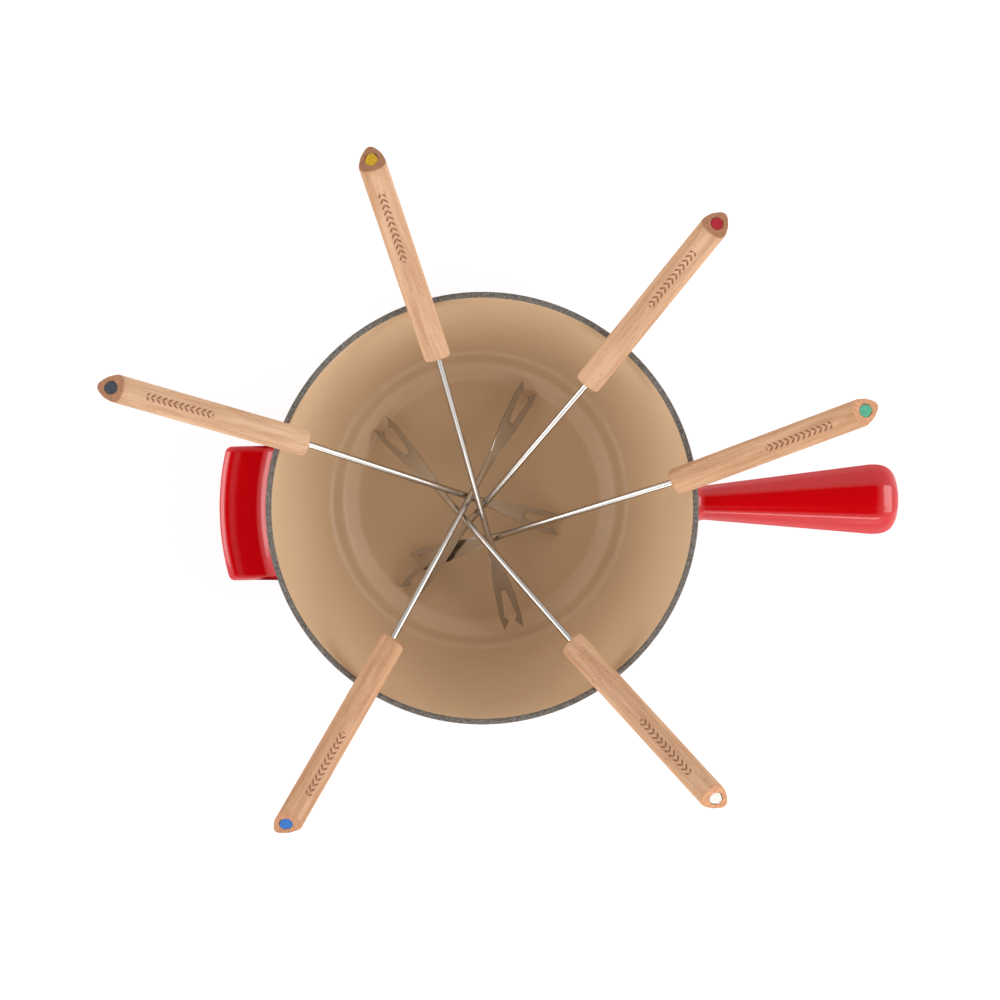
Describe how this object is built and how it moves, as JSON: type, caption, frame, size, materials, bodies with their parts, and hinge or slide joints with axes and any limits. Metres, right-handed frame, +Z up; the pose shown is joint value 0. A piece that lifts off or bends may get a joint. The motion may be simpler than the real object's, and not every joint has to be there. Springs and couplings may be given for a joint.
{
  "type": "fondue set",
  "caption": "Enamelled iron fondue pot with long handle and helper tab, barbed forks with wooden handles, stand and spirit burner with regulator and snuffer",
  "frame": {"origin": "centre of the stand's soft foot ring, on the table", "axes": "+Z up along the pot's axis, +X along the long handle, the burner slides out towards -Y"},
  "size_m": [0.3727, 0.3128, 0.2606],
  "materials": {
    "enamel_red": "glossy cherry-red enamel outside, glossy sand enamel inside, matt grey-brown rim",
    "beech": "sanded, unvarnished",
    "polished_steel": "polished",
    "black_steel": "satin black",
    "rivet_steel": "satin",
    "soft_ring": "matt",
    "burner_steel": "brushed",
    "wadding": "fibrous",
    "phenolic": "satin",
    "plug_yellow": "painted",
    "plug_red": "painted",
    "plug_green": "painted",
    "plug_white": "painted",
    "plug_blue": "painted",
    "plug_black": "painted"
  },
  "bodies": {
    "stand": {"stand_top_ring": "black_steel", "stand_leg_1": "black_steel", "stand_leg_2": "black_steel", "stand_leg_3": "black_steel", "stand_ring_rivets": "rivet_steel", "stand_tray": "black_steel", "stand_tray_rivets": "rivet_steel", "stand_foot_ring": "soft_ring"},
    "pot": {"pot": "enamel_red"},
    "fork_yellow": {"fork_handle_yellow": "beech", "fork_shaft_yellow": "polished_steel", "fork_plug_yellow": "plug_yellow"},
    "fork_red": {"fork_handle_red": "beech", "fork_shaft_red": "polished_steel", "fork_plug_red": "plug_red"},
    "fork_green": {"fork_handle_green": "beech", "fork_shaft_green": "polished_steel", "fork_plug_green": "plug_green"},
    "fork_white": {"fork_handle_white": "beech", "fork_shaft_white": "polished_steel", "fork_plug_white": "plug_white"},
    "fork_blue": {"fork_handle_blue": "beech", "fork_shaft_blue": "polished_steel", "fork_plug_blue": "plug_blue"},
    "fork_black": {"fork_handle_black": "beech", "fork_shaft_black": "polished_steel", "fork_plug_black": "plug_black"},
    "burner": {"burner_cup": "burner_steel", "burner_wadding": "wadding", "burner_gauze": "burner_steel", "burner_cover": "burner_steel", "burner_handle_bracket": "burner_steel", "burner_bracket_rivets": "rivet_steel", "burner_grip": "phenolic", "snuffer_pin": "rivet_steel"},
    "regulator": {"regulator_ring": "burner_steel", "regulator_rod": "burner_steel", "regulator_knob": "phenolic"},
    "snuffer": {"snuffer_lid": "burner_steel", "snuffer_knob": "phenolic"}
  },
  "joints": [
    {"name": "pot_lift", "type": "slide", "parent": "stand", "child": "pot", "axis": [0, 0, 1], "range_m": [0, 0.12]},
    {"name": "fork_yellow_pull", "type": "slide", "parent": "pot", "child": "fork_yellow", "axis": [-0.2203, 0.8511, 0.4765], "range_m": [0, 0.2]},
    {"name": "fork_red_pull", "type": "slide", "parent": "pot", "child": "fork_red", "axis": [0.5488, 0.6516, 0.5237], "range_m": [0, 0.2]},
    {"name": "fork_green_pull", "type": "slide", "parent": "pot", "child": "fork_green", "axis": [0.7731, 0.2602, 0.5785], "range_m": [0, 0.2]},
    {"name": "fork_white_pull", "type": "slide", "parent": "pot", "child": "fork_white", "axis": [0.5604, -0.6481, 0.5157], "range_m": [0, 0.2]},
    {"name": "fork_blue_pull", "type": "slide", "parent": "pot", "child": "fork_blue", "axis": [-0.443, -0.7345, 0.514], "range_m": [0, 0.2]},
    {"name": "fork_black_pull", "type": "slide", "parent": "pot", "child": "fork_black", "axis": [-0.768, 0.2938, 0.569], "range_m": [0, 0.2]},
    {"name": "burner_slide", "type": "slide", "parent": "stand", "child": "burner", "axis": [0, -1, 0], "range_m": [0, 0.16]},
    {"name": "regulator_turn", "type": "hinge", "parent": "burner", "child": "regulator", "pos_m": [0, 0, 0.0444], "axis": [0, 0, 1], "range_deg": [0, 22.5]},
    {"name": "snuffer_swing", "type": "hinge", "parent": "burner", "child": "snuffer", "pos_m": [0, 0.0342, 0.0485], "axis": [0, 0, 1], "range_deg": [0, 85]}
  ]
}
